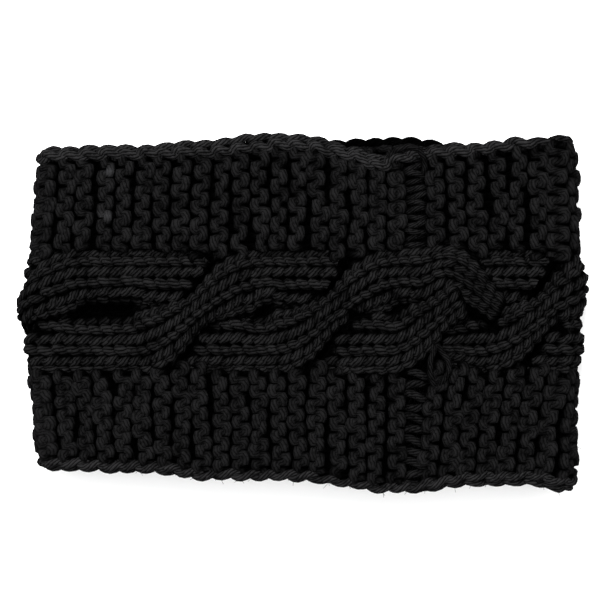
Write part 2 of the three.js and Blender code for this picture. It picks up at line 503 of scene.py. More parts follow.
    def eye(self, place: Array) -> Array:
        """Gives how far the cable gapes between its strands.

        Args:
            place: Places along the loop.

        Returns:
            Shares, from 0 at a crossing to 1 in the middle of an eye.
        """
        crossings = [*self.crossings, self.last_eye]
        share = np.zeros_like(place)
        for low, high in zip(crossings, crossings[1:]):
            inside = np.minimum(place - low * self.half_width, high * self.half_width - place)
            share = np.maximum(share, smooth((inside - self.eye_margin) / self.eye_climb))
        return share

    def fullness(self, plan: StrandPlan, place: Array) -> Array:
        """Gives what is left of a strand's section towards its ends.

        Args:
            plan: The strand's start and end.
            place: Places along the loop.

        Returns:
            Shares of the full section.
        """
        to_start = place - plan.start * self.half_width
        to_end = plan.end * self.half_width - place
        share = smooth(np.minimum(to_start, to_end) / self.strand_tip)
        return self.tip_fullness + (1 - self.tip_fullness) * share

    def cable_reach(self, plans: list[StrandPlan], place: Array, side: Side) -> Array:
        """Gives how far the cable reaches towards one side.

        Args:
            plans: Both strands.
            place: Places along the loop, from 0 to its length.
            side: The side to look at.

        Returns:
            Distances from the middle of the cable.
        """
        reach = np.full_like(place, self.cable_half - self.notch_depth)
        for plan in plans:
            moves = self.moves(plan)
            for turn in (0, 1):
                at = place + turn * self.length
                inside = (at >= plan.start * self.half_width) & (at <= plan.end * self.half_width)
                across, slope, _, _ = self.strand_at(moves, at, 0.0)
                half = self.strand_width / 2 * self.fullness(plan, at) * np.hypot(1, slope)
                reach = np.where(inside, np.maximum(reach, side.value * across + half), reach)
        return reach

    def outward(self, along: Array) -> Array:
        """Gives the direction out of the fabric.

        Args:
            along: Places along the loop.

        Returns:
            Unit vectors, one row each.
        """
        place = np.mod(along, self.length)
        quarter = self.flat_half + self.fold_arc
        first = np.clip((place - self.flat_half) / self.layer_height, 0, math.pi)
        second = np.clip((place - quarter - 2 * self.flat_half) / self.layer_height, 0, math.pi)
        angle = first + second
        return np.stack([np.sin(angle), np.zeros_like(angle), np.cos(angle)], axis=-1)

    def on_loop(self, along: Array, across: Array, out: Array, radius: Array) -> Array:
        """Puts points of the flat strip on the loop, above the surface that the band lies on.

        Args:
            along: Places along the loop.
            across: Distances from the middle of the cable, positive towards the upper edge.
            out: Distances out of the fabric's middle, positive outwards.
            radius: The yarn's radius there.

        Returns:
            Points in millimetres, one row each.
        """
        place = np.mod(along, self.length)
        quarter = self.flat_half + self.fold_arc
        r = self.layer_height + out
        near = (place - self.flat_half) / self.layer_height
        far = (place - quarter - 2 * self.flat_half) / self.layer_height
        zones = [
            place > self.length - self.flat_half,
            place > quarter + 2 * self.flat_half,
            place > quarter,
            place > self.flat_half,
        ]
        x = np.select(
            zones,
            [
                place - self.length,
                -self.flat_half - r * np.sin(far),
                self.flat_half - (place - quarter),
                self.flat_half + r * np.sin(near),
            ],
            place,
        )
        z = np.select(zones, [r, -r * np.cos(far), -r, r * np.cos(near)], r)
        full = self.cable_half + np.where(across > 0, self.upper_border, self.lower_border)
        keys, left, right = (np.array(values) for values in zip(*FOLD_LINES))
        reach_left = read(keys, left, across / full)
        reach_right = read(keys, right, across / full)
        x = x * (1 + np.where(x > 0, reach_right, reach_left))
        upper = (1 + np.clip(z / self.layer_height, -1, 1)) / 2
        droop = upper * self.upper_droop + (1 - upper) * self.lower_droop
        inset = np.abs(across) - self.cable_half + self.notch_depth
        z = z - droop * smooth(inset / (2 * self.notch_depth))
        z = np.maximum(z + self.floor, radius)
        return np.stack([x + self.middle[0], across + self.middle[1], z], axis=-1)

    def yarn(
        self,
        along: Array,
        across: Array,
        out: Array | float,
        radius: Array | float,
        painted_shade_height: Array | float,
    ) -> YarnLine:
        """Lays a length of yarn on the loop.

        Args:
            along: Places along the loop.
            across: Distances from the middle of the cable.
            out: Distances out of the fabric's middle.
            radius: The yarn's radius.
            painted_shade_height: How far it stands clear of its own fabric, which sets its painted shade.

        Returns:
            The yarn, nowhere pale.
        """
        plain = np.zeros(len(along))
        points = self.on_loop(along, across, plain + out, plain + radius)
        return YarnLine(points, plain + radius, plain + painted_shade_height, self.outward(along), plain)


class Stitch(Enum):
    """How a loop passes from one face of the fabric to the other."""

    HEAD_BEHIND = 1
    HEAD_IN_FRONT = -1
    LEGS_IN_FRONT = 0


@dataclass(frozen=True)
class Unevenness:
    """How much stitches, links or rungs differ from each other, in shares of their size or in mm."""

    across: float
    height: float
    along: float
    depth: float = 0.0
    thick: float = 0.0


@dataclass(frozen=True)
class LoopForm:
    """The form of a knitted loop, in millimetres."""

    height: float
    bulge: float
    depth: float
    shingle: float = 0.0
    steep: float = 0.8
    swell: float = 0.1
    samples: int = 12

    def angles(self, first: float, last: float) -> Array:
        """Spaces the points of a course of stitches, as angles of one turn from foot to foot."""
        count = max(3, round((last - first) * self.samples))
        return np.linspace(first, last, count + 1) * 2 * math.pi

    def across(self, angle: Array) -> Array:
        """Gives how far along its course the yarn is, in stitches."""
        return angle / (2 * math.pi) + self.bulge / (2 * math.pi) * np.sin(2 * angle)

    def climb(self, angle: Array) -> Array:
        """Gives how far up the loop the yarn is, from -1 at its foot to 1 at its head."""
        return np.sin(np.clip(-np.cos(angle) / self.steep, -1, 1) * math.pi / 2)

    def lift(self, angle: Array, stitch: Stitch) -> Array:
        """Gives how far the yarn stands out of the fabric's middle.

        Args:
            angle: The yarn's angles.
            stitch: The kind of stitch.

        Returns:
            Shares of the depth, from -1 at the back to 1 in front.
        """
        if stitch is Stitch.LEGS_IN_FRONT:
            return -np.cos(2 * angle)
        return -stitch.value * self.climb(angle)


def add_node(
    tree: bpy.types.NodeTree,
    kind: str,
    values: dict[str | int, object] | None = None,
    **settings: object,
) -> bpy.types.Node:
    """Adds a node and fills in its inputs.

    Args:
        tree: The node tree.
        kind: The node's type.
        values: Its inputs by name or number, each a socket to link or a plain value.
        **settings: The node's own properties.

    Returns:
        The node.
    """
    node = tree.nodes.new(kind)
    for key, value in settings.items():
        setattr(node, key, value)
    for key, value in (values or {}).items():
        if isinstance(value, bpy.types.NodeSocket):
            tree.links.new(value, node.inputs[key])
        else:
            node.inputs[key].default_value = value
    return node


def read_values(layer: bpy.types.bpy_prop_collection, key: str, count: int, kind: str = "f") -> Array:
    """Reads one value of every item of a mesh layer.

    Args:
        layer: The layer's items.
        key: The value's name.
        count: How many numbers there are in all.
        kind: The numbers' type.

    Returns:
        The numbers in one row.
    """
    values = np.zeros(count, kind)
    layer.foreach_get(key, values)
    return values


@dataclass(frozen=True)
class PliedWool:
    """A soft matte wool yarn of a few plies, near black, with painted shade in the grooves between plies and
    where it lies deep in its fabric.
    """

    name: str
    # Between dark and light the colour follows the plies and random noise: the darker grooves between plies
    # are painted shade.
    dark: tuple[float, float, float] = (0.0002, 0.0002, 0.0002)
    light: tuple[float, float, float] = (0.0068, 0.0067, 0.0069)
    pale: tuple[float, float, float] = (0.02, 0.02, 0.021)
    roughness: float = 0.8
    sheen: float = 0.001
    sheen_roughness: float = 0.5
    shine: float = 0.0
    plies: int = 7
    ply_pitch: float = 17.0
    groove: float = 0.5
    ply_power: float = 0.8
    ply_bend: float = 2.2
    fuzz: float = 0.6
    # Painted shade: the colour falls to dark_share of itself as the yarn lies deeper in its fabric, from
    # light_above down to dark_below.
    dark_below: float = 1.5
    light_above: float = 3.8
    dark_share: float = 0.03
    cloud_scale: float = 160.0
    cloud_detail: float = 4.0
    tuft_scale: float = 620.0
    tuft_detail: float = 2.0
    fibre_stretch: tuple[float, float, float] = (3.2, 0.35, 1.0)
    fibre_detail: float = 3.0
    contrast: float = 1.35
    brightness: float = 16.0

    def build(self) -> bpy.types.Material:
        """Makes the material.

        Returns:
            The material, which reads the yarn's own UV map, Object coordinates and the attributes for pale
            stitches and painted shade.
        """
        material = bpy.data.materials.new(self.name)
        material.use_nodes = True
        tree = material.node_tree
        tree.nodes.clear()
        ply, fibre, cloud, tuft = self._pattern(tree)
        # The colour is darker in the grooves between plies, which is painted shade, and differs at random
        # with the fibres and the noise.
        painted_ply_shade_and_tone = ply
        for factor in (fibre, cloud, tuft):
            painted_ply_shade_and_tone = self._math(tree, "MULTIPLY", painted_ply_shade_and_tone, factor)
        painted_ply_shade_and_tone = self._math(tree, "POWER", painted_ply_shade_and_tone, self.contrast)
        spread = self._math(tree, "MULTIPLY", painted_ply_shade_and_tone, self.brightness)
        spread.node.use_clamp = True
        shades = {"Factor": spread, "A": (*self.dark, 1), "B": (*self.light, 1)}
        colour = add_node(tree, "ShaderNodeMix", shades, data_type="RGBA").outputs["Result"]
        mark = add_node(tree, "ShaderNodeAttribute", attribute_name="pale").outputs["Fac"]
        marks = {"Factor": mark, "A": colour, "B": (*self.pale, 1)}
        paler = add_node(tree, "ShaderNodeMix", marks, data_type="RGBA").outputs["Result"]
        # Painted shade: the colour is darkened where the yarn lies low in its fabric, in the valleys, the
        # eyes and beside the other strand.
        painted_shade_height = add_node(tree, "ShaderNodeAttribute", attribute_name="painted_shade_height").outputs["Fac"]
        limits = {
            "Value": painted_shade_height,
            "From Min": self.dark_below,
            "From Max": self.light_above,
            "To Min": self.dark_share,
        }
        clear = add_node(tree, "ShaderNodeMapRange", limits, interpolation_type="SMOOTHSTEP")
        shade = {0: paler, "Scale": clear.outputs["Result"]}
        shaded = add_node(tree, "ShaderNodeVectorMath", shade, operation="SCALE")

        fine = self._math(tree, "MULTIPLY", self._math(tree, "ADD", fibre, tuft), self.fuzz)
        height = self._math(tree, "ADD", ply, fine)
        relief = {"Strength": 1.0, "Distance": self.groove * MM, "Height": height}
        bump = add_node(tree, "ShaderNodeBump", relief)
        finish = {
            "Base Color": shaded.outputs["Vector"],
            "Roughness": self.roughness,
            "Sheen Weight": self.sheen,
            "Sheen Roughness": self.sheen_roughness,
            "Specular IOR Level": self.shine,
            "Normal": bump.outputs["Normal"],
        }
        shader = add_node(tree, "ShaderNodeBsdfPrincipled", finish)
        add_node(tree, "ShaderNodeOutputMaterial", {"Surface": shader.outputs["BSDF"]})
        return material

    def _pattern(self, tree: bpy.types.NodeTree) -> tuple[bpy.types.NodeSocket, ...]:
        """Lays the yarn's plies round it, with soft differences in them.

        Args:
            tree: The material's node tree.

        Returns:
            How high the plies are, their fibres, and the coarse and the fine differences.
        """
        uv = add_node(tree, "ShaderNodeUVMap", uv_map="yarn").outputs["UV"]
        split = add_node(tree, "ShaderNodeSeparateXYZ", {"Vector": uv})
        place = add_node(tree, "ShaderNodeTexCoord").outputs["Object"]
        along = self._math(tree, "MULTIPLY", split.outputs["X"], math.pi * self.plies / self.ply_pitch)
        around = self._math(tree, "MULTIPLY", split.outputs["Y"], math.pi * self.plies)
        cloud = self._noise(tree, place, self.cloud_scale, self.cloud_detail)
        tuft = self._noise(tree, place, self.tuft_scale, self.tuft_detail)
        bent = self._math(tree, "MULTIPLY", self._math(tree, "ADD", cloud, tuft), self.ply_bend)
        phase = self._math(tree, "ADD", self._math(tree, "ADD", along, around), bent)
        wave = self._math(tree, "ABSOLUTE", self._math(tree, "SINE", phase, None), None)
        ply = self._math(tree, "POWER", wave, self.ply_power)

        fibre_at = add_node(tree, "ShaderNodeCombineXYZ", {"X": phase, "Y": split.outputs["X"]})
        stretch = {0: fibre_at.outputs["Vector"], 1: self.fibre_stretch}
        stretched = add_node(tree, "ShaderNodeVectorMath", stretch, operation="MULTIPLY")
        fibre = self._noise(tree, stretched.outputs["Vector"], 1.0, self.fibre_detail)
        return ply, fibre, cloud, tuft

    @staticmethod
    def _noise(
        tree: bpy.types.NodeTree,
        vector: bpy.types.NodeSocket,
        scale: float,
        detail: float,
    ) -> bpy.types.NodeSocket:
        """Adds a noise texture, read at the vector, and gives its value, from 0 to 1."""
        values = {"Vector": vector, "Scale": scale, "Detail": detail}
        return add_node(tree, "ShaderNodeTexNoise", values).outputs["Fac"]

    @staticmethod
    def _math(
        tree: bpy.types.NodeTree,
        operation: str,
        a: bpy.types.NodeSocket,
        b: bpy.types.NodeSocket | float | None,
    ) -> bpy.types.NodeSocket:
        """Adds a Math node, with one value where b is None, and gives its output."""
        values = {0: a} if b is None else {0: a, 1: b}
        return add_node(tree, "ShaderNodeMath", values, operation=operation).outputs[0]


@dataclass
class Winder:
    """Sweeps a round yarn along many lines with Geometry Nodes."""

    sides: int = 8
    fibres: int = 600

    @cached_property
    def tree(self) -> bpy.types.GeometryNodeTree:
        """Builds the node tree that sweeps yarn along lines.

        Returns:
            The tree, with named inputs for the yarn's thickness, its sides and its material.
        """
        tree = bpy.data.node_groups.new("plied_yarn", "GeometryNodeTree")
        inputs = {"Lines": "Geometry", "Thickness": "Float", "Sides": "Int", "Wool": "Material"}
        for name, kind in inputs.items():
            tree.interface.new_socket(name, in_out="INPUT", socket_type="NodeSocket" + kind)
        tree.interface.new_socket("Yarn", in_out="OUTPUT", socket_type="NodeSocketGeometry")
        start = add_node(tree, "NodeGroupInput").outputs
        curve = add_node(tree, "GeometryNodeMeshToCurve", {"Mesh": start["Lines"]})
        named = {"Name": "yarn_radius"}
        radius = add_node(tree, "GeometryNodeInputNamedAttribute", named, data_type="FLOAT")
        scales = {0: radius.outputs["Attribute"], 1: start["Thickness"]}
        thick = add_node(tree, "ShaderNodeMath", scales, operation="MULTIPLY")
        round_form = {"Resolution": start["Sides"], "Radius": 1.0}
        circle = add_node(tree, "GeometryNodeCurvePrimitiveCircle", round_form)
        spokes = {
            "Geometry": circle.outputs["Curve"],
            "Name": "spoke",
            "Value": add_node(tree, "GeometryNodeInputIndex").outputs["Index"],
        }
        spoke = add_node(tree, "GeometryNodeStoreNamedAttribute", spokes, data_type="FLOAT")
        swept = {
            "Curve": curve.outputs["Curve"],
            "Profile Curve": spoke.outputs["Geometry"],
            "Scale": thick.outputs[0],
            "Fill Caps": True,
        }
        sweep = add_node(tree, "GeometryNodeCurveToMesh", swept)
        shade = add_node(tree, "GeometryNodeSetShadeSmooth", {"Geometry": sweep.outputs["Mesh"]})
        real = add_node(tree, "GeometryNodeRealizeInstances", {"Geometry": shade.outputs["Geometry"]})
        dressed = {"Geometry": real.outputs["Geometry"], "Material": start["Wool"]}
        dress = add_node(tree, "GeometryNodeSetMaterial", dressed)
        add_node(tree, "NodeGroupOutput", {"Yarn": dress.outputs["Geometry"]})
        return tree

    def wind(
        self,
        name: str,
        lines: list[YarnLine],
        wool: bpy.types.Material,
        two_sided: bool = False,
    ) -> bpy.types.Object:
        """Makes one piece of all the lines.

        Args:
            name: The piece's name.
            lines: The lengths of yarn.
            wool: The yarn's material.
            two_sided: Whether the fabric has the same ridges on both faces.

        Returns:
            The piece, with its place in its mesh.
        """
        fibres = StrayFibres(self.fibres, len(name)).lines(lines)
        source = self._lines_object(name, lines + fibres)
        modifier = source.modifiers.new("yarn", "NODES")
        modifier.node_group = self.tree
        values = {"Thickness": 1.0, "Sides": self.sides, "Wool": wool}
        for item in self.tree.interface.items_tree:
            if item.name in values:
                modifier[item.identifier] = values[item.name]
        graph = bpy.context.evaluated_depsgraph_get()
        mesh = bpy.data.meshes.new_from_object(source.evaluated_get(graph))
        source.modifiers.clear()
        bpy.data.objects.remove(source)
        mesh.name = name
        self._map_yarn(mesh)
        self._map_painted_shade(mesh, two_sided)
        for key in ("yarn_along", "spoke", "yarn_radius", "yarn_height", "yarn_outward"):
            if key in mesh.attributes:
                mesh.attributes.remove(mesh.attributes[key])
        piece = bpy.data.objects.new(name, mesh)
        bpy.context.scene.collection.objects.link(piece)
        return piece

    @staticmethod
    def _lines_object(name: str, lines: list[YarnLine]) -> bpy.types.Object:
        """Makes a mesh of edges from the lines.

        Args:
            name: The piece's name.
            lines: The lengths of yarn.

        Returns:
            The object, in metres, with the yarn's values as point attributes.
        """
        points = np.concatenate([line.points for line in lines]) * MM
        counts = [len(line.points) for line in lines]
        first = np.cumsum([0, *counts[:-1]])
        low = np.concatenate([np.arange(a, a + n - 1) for a, n in zip(first, counts)])
        mesh = bpy.data.meshes.new(name + "_lines")
        mesh.vertices.add(len(points))
        mesh.vertices.foreach_set("co", points.ravel())
        mesh.edges.add(len(low))
        mesh.edges.foreach_set("vertices", np.stack([low, low + 1], axis=-1).ravel())
        lengths = []
        for line in lines:
            step = np.linalg.norm(np.diff(line.points, axis=0), axis=1)
            lengths.append(np.concatenate([[0.0], np.cumsum(step)]))
        values = {
            "yarn_radius": np.concatenate([line.radius for line in lines]) * MM,
            "pale": np.concatenate([line.pale for line in lines]),
            "yarn_along": np.concatenate(lengths),
            "yarn_height": np.concatenate([line.height for line in lines]),
        }
        for key, data in values.items():
            mesh.attributes.new(key, "FLOAT", "POINT").data.foreach_set("value", data.astype("f"))
        outward = np.concatenate([line.outward for line in lines]).astype("f")
        layer = mesh.attributes.new("yarn_outward", "FLOAT_VECTOR", "POINT")
        layer.data.foreach_set("vector", outward.ravel())
        item = bpy.data.objects.new(name + "_lines", mesh)
        bpy.context.scene.collection.objects.link(item)
        return item

    def _map_yarn(self, mesh: bpy.types.Mesh) -> None:
        """Lays a UV map along and around the yarn: u in millimetres, v once round.

        Args:
            mesh: The swept mesh, with its place along and around at each point.
        """
        count = len(mesh.vertices)
        faces = len(mesh.polygons)
        along = read_values(mesh.attributes["yarn_along"].data, "value", count)
        spoke = read_values(mesh.attributes["spoke"].data, "value", count)
        corner = read_values(mesh.loops, "vertex_index", len(mesh.loops), "i")
        starts = read_values(mesh.polygons, "loop_start", faces, "i")
        totals = read_values(mesh.polygons, "loop_total", faces, "i")
        v = spoke[corner]
        highest = np.repeat(np.maximum.reduceat(v, starts), totals)
        quad = np.repeat(totals == 4, totals)
        v = np.where(quad & (highest > self.sides - 1.5) & (v < 0.5), self.sides, v)
        layer = mesh.uv_layers.new(name="yarn")
        uv = np.stack([along[corner], v / self.sides], axis=-1)
        layer.data.foreach_set("uv", uv.ravel().astype("f"))

    @staticmethod
    def _map_painted_shade(mesh: bpy.types.Mesh, two_sided: bool) -> None:
        """Stores how far each point stands clear of its fabric's middle, in millimetres, which sets its
        painted shade.

        Args:
            mesh: The swept mesh, with its yarn's height and direction at each point.
            two_sided: Whether the fabric has the same ridges on both faces.
        """
        count = len(mesh.vertices)
        height = read_values(mesh.attributes["yarn_height"].data, "value", count)
        radius = read_values(mesh.attributes["yarn_radius"].data, "value", count)
        outward = read_values(mesh.attributes["yarn_outward"].data, "vector", 3 * count)
        normal = read_values(mesh.vertices, "normal", 3 * count)
        facing = np.sum(outward.reshape(-1, 3) * normal.reshape(-1, 3), axis=1)
        # Painted shade: the material darkens points that lie low in their fabric.
        painted_shade_height = height + radius / MM * facing
        painted_shade_height = np.abs(painted_shade_height) if two_sided else painted_shade_height
        layer = mesh.attributes.new("painted_shade_height", "FLOAT", "POINT")
        layer.data.foreach_set("value", painted_shade_height.astype("f"))


@dataclass(frozen=True)
class StrayFibres:
    """Fine short fibres that stand off the wool, in millimetres."""

    count: int
    seed: int
    shortest: float = 0.4
    longest: float = 1.6
    radius: float = 0.06
    curl: float = 0.7
    root_depth: float = 0.8
    painted_shade_height: float = 1.0
    joints: int = 4

    def lines(self, yarns: list[YarnLine]) -> list[YarnLine]:
        """Roots fibres at random places on the yarns.

        Args:
            yarns: The lengths of yarn.

        Returns:
            One line to a fibre.
        """
        random = np.random.default_rng(self.seed)
        share = np.linspace(0, 1, self.joints)[:, None]
        found = []
        for number in random.integers(0, len(yarns), self.count):
            yarn = yarns[number]
            at = int(random.integers(1, len(yarn.points) - 1))
            tangent = yarn.points[at + 1] - yarn.points[at - 1]
            tangent = tangent / max(float(np.linalg.norm(tangent)), 1e-6)
            away = random.normal(0, 1, 3)
            away = away - tangent * float(away @ tangent)
            away = away / max(float(np.linalg.norm(away)), 1e-6)
            reach = random.uniform(self.shortest, self.longest)
            bend = random.normal(0, self.curl, 3)
            root = yarn.points[at] + away * float(yarn.radius[at]) * self.root_depth
            points = root + share * away * reach + share**2 * bend * reach
            points[:, 2] = np.maximum(points[:, 2], self.radius)
            plain = np.zeros(self.joints)
            # Painted shade: a fibre is shaded a little lighter than the yarn at its root.
            height = plain + float(yarn.height[at]) + self.painted_shade_height
            outward = np.repeat(yarn.outward[[at]], self.joints, 0)
            found.append(YarnLine(points, plain + self.radius, height, outward, plain))
        return found


@dataclass
class YarnPiece:
    """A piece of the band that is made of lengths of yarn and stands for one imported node."""

    name: str
    node: str
    shape: BandShape
    seed: int
    slot: ClassVar[str] = ""
    two_sided: ClassVar[bool] = False

    def lines(self) -> list[YarnLine]:
        """Follows every length of yarn of the piece."""
        raise NotImplementedError

    def build(self, winder: Winder, wool: bpy.types.Material) -> bpy.types.Object:
        """Winds the piece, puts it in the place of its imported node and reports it.

        Args:
            winder: What sweeps the yarn.
            wool: The yarn's material.

        Returns:
            The finished piece.
        """
        piece = winder.wind(self.name, self.lines(), wool, self.two_sided)
        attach(piece, BODY)
        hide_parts(self.node)
        piece.data.calc_loop_triangles()
        LOG.info("%s: %d triangles, for %s", self.name, len(piece.data.loop_triangles), self.node)
        return piece


@dataclass
class GarterBorder(YarnPiece):
    """A border of garter stitch: rows run across the band, two rows to a ridge."""

    side: Side
    stitches: float
    plans: list[StrandPlan]
    slot: ClassVar[str] = "garter_yarn"
    two_sided: ClassVar[bool] = True
    yarn_radius: float = 1.46
    form: LoopForm = LoopForm(height=3.75, bulge=0.6, depth=2.2, swell=0.3)
    tuck: float = 0.45
    inner_tuck: float = 0.1
    uneven: Unevenness = Unevenness(across=0.06, height=0.1, along=0.42, depth=0.2, thick=0.04)
    sway: float = 0.58
    notch: float = 3.5
    fold_calm: float = 0.8
    fold_stretch: float = 0.12
    fold_swell: float = 0.1
    end_sink: float = 1.6
    outer_fade: float = 0.8
    inner_fade: float = 0.3
    pale_fade: float = 1.5
    pale_spots: tuple[PaleSpot, ...] = ()

    def rows(self) -> Array:
        """Counts the rows from one side of the seam round to the other.

        Returns:
            The rows' numbers.
        """
        row = self.shape.row
        first = math.ceil(self.shape.seam_end / row)
        last = math.floor((self.shape.seam_start + self.shape.length) / row)
        return np.arange(first, last + 1)

    def lines(self) -> list[YarnLine]:
        """Follows the yarn of every row.

        Returns:
            One line to a row, from the outer edge to the cable.
        """
        shape = self.shape
        uneven = self.uneven
        random = np.random.default_rng(self.seed)
        found = []
        for number in self.rows():
            place = number * shape.row
            stitch_kind = Stitch.HEAD_BEHIND if number % 2 == 0 else Stitch.HEAD_IN_FRONT
            outer = float(shape.border_edge(place, self.side)) + shape.clearance
            pitch = (outer - shape.cable_half - shape.clearance) / self.stitches
            ring = np.array([np.mod(place, shape.length)])
            reach = float(shape.cable_reach(self.plans, ring, self.side)[0])
            inner = max(reach, shape.cable_half - self.notch)
            end = (outer - inner) / pitch + self.inner_tuck
            angle = self.form.angles(-self.tuck, end)
            knots = np.arange(-2, math.ceil(end) + 3, 0.5)
            drift = random.normal(0, 1, (4, len(knots)))
            at = angle / (2 * math.pi)
            wander = [np.interp(at, knots, values) for values in drift]
            stitch = self.form.across(angle)
            across = outer - pitch * (stitch + uneven.across * wander[0])
            fold = float(shape.fold(place))
            height = self.form.height * (1 + uneven.height * wander[1]) * (1 + self.fold_stretch * fold)
            depth = self.form.depth * (1 + uneven.depth * wander[2])
            ridge = np.random.default_rng(self.seed * 1000 + (int(number) + 1) // 2)
            sway = ridge.normal(0, 1, math.ceil(end / 2) + 3)
            along = place + height * self.form.climb(angle) + uneven.along * wander[3]
            calm = self.sway * (1 - self.fold_calm * fold)
            along = along + calm * np.interp(at, np.arange(len(sway)) * 2.0 - 1, sway)
            share = (across - shape.cable_half) / shape.border(self.side)
            along = along + share * float(shape.round_table(RIDGE_LEANS, self.side, place))
            lift = self.form.lift(angle, stitch_kind)
            hidden = np.minimum((at + self.tuck) / self.outer_fade, (end - at) / self.inner_fade)
            out = depth * lift - self.end_sink * (1 - smooth(hidden))
            thick = 1 + uneven.thick * wander[0] + self.form.swell * np.abs(lift)
            radius = self.yarn_radius * thick * (1 + self.fold_swell * fold)
            # The row's depth in the fabric also sets its painted shade, darker in the valleys between
            # ridges.
            row = shape.yarn(along, self.side.value * across, out, radius, out)
            found.append(row._replace(pale=self._pale(row.points)))
        return found

    def _pale(self, points: Array) -> Array:
        """Marks the paler stitches.

        Args:
            points: The points of a row.

        Returns:
            Shares of the paler colour.
        """
        pale = np.zeros(len(points))
        for x, y, reach in self.pale_spots:
            away = np.hypot(points[:, 0] - x, points[:, 1] - y)
            above = points[:, 2] > self.shape.floor
            pale = np.maximum(pale, smooth((reach - away) / self.pale_fade) * above)
        return pale


